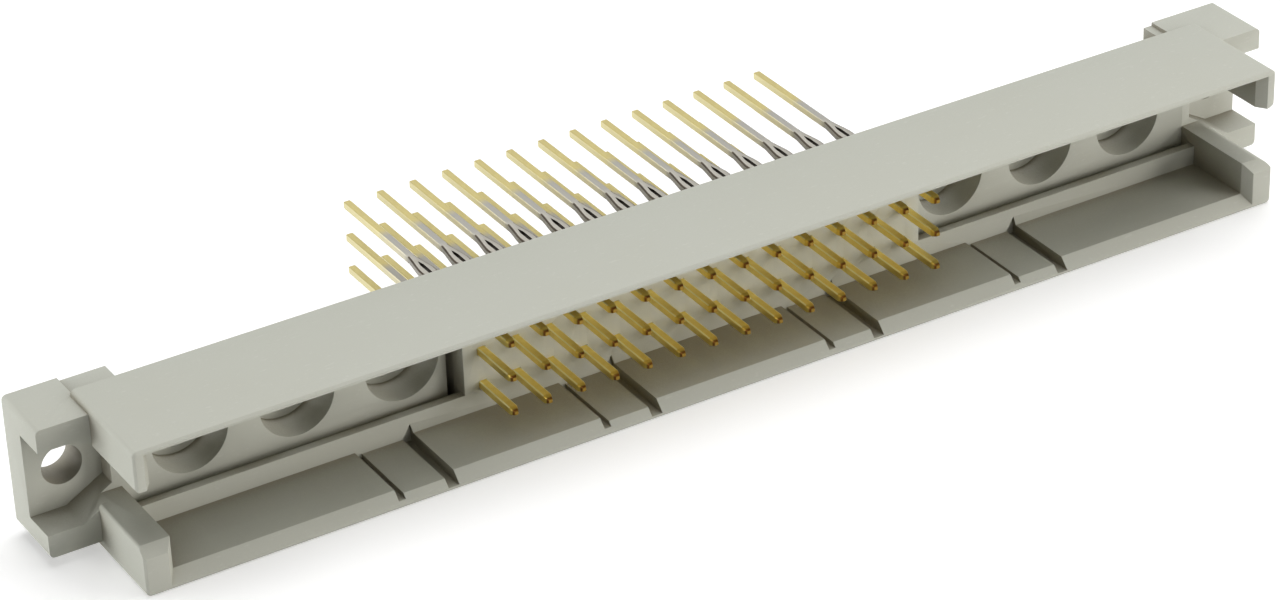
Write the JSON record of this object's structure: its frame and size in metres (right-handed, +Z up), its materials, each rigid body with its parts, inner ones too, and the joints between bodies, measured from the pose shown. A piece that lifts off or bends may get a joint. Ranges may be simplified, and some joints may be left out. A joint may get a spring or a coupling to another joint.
{
  "type": "backplane connector",
  "caption": "Straight male board connector in a long flanged shroud, with rows of mating blades, round cavities for special contacts and long square tails.",
  "frame": {"origin": "midway between the two mounting holes, in the seating plane where the flanges meet the backplane", "axes": "+X along the housing, +Y from the mating side through the backplane, +Z up across the short side, from the slotted foot of the mouth to the plain top wall"},
  "size_m": [0.095, 0.0244, 0.0105],
  "materials": {
    "housing_plastic": "matte",
    "contact_metal": "satin"
  },
  "bodies": {
    "root": {"housing": "housing_plastic", "contact_1_01": "contact_metal", "contact_1_02": "contact_metal", "contact_1_03": "contact_metal", "contact_1_04": "contact_metal", "contact_1_05": "contact_metal", "contact_1_06": "contact_metal", "contact_1_07": "contact_metal", "contact_1_08": "contact_metal", "contact_1_09": "contact_metal", "contact_1_10": "contact_metal", "contact_1_11": "contact_metal", "contact_1_12": "contact_metal", "contact_1_13": "contact_metal", "contact_1_14": "contact_metal", "contact_2_01": "contact_metal", "contact_2_02": "contact_metal", "contact_2_03": "contact_metal", "contact_2_04": "contact_metal", "contact_2_05": "contact_metal", "contact_2_06": "contact_metal", "contact_2_07": "contact_metal", "contact_2_08": "contact_metal", "contact_2_09": "contact_metal", "contact_2_10": "contact_metal", "contact_2_11": "contact_metal", "contact_2_12": "contact_metal", "contact_2_13": "contact_metal", "contact_2_14": "contact_metal", "contact_3_01": "contact_metal", "contact_3_02": "contact_metal", "contact_3_03": "contact_metal", "contact_3_04": "contact_metal", "contact_3_05": "contact_metal", "contact_3_06": "contact_metal", "contact_3_07": "contact_metal", "contact_3_08": "contact_metal", "contact_3_09": "contact_metal", "contact_3_10": "contact_metal", "contact_3_11": "contact_metal", "contact_3_12": "contact_metal", "contact_3_13": "contact_metal", "contact_3_14": "contact_metal"}
  },
  "joints": []
}
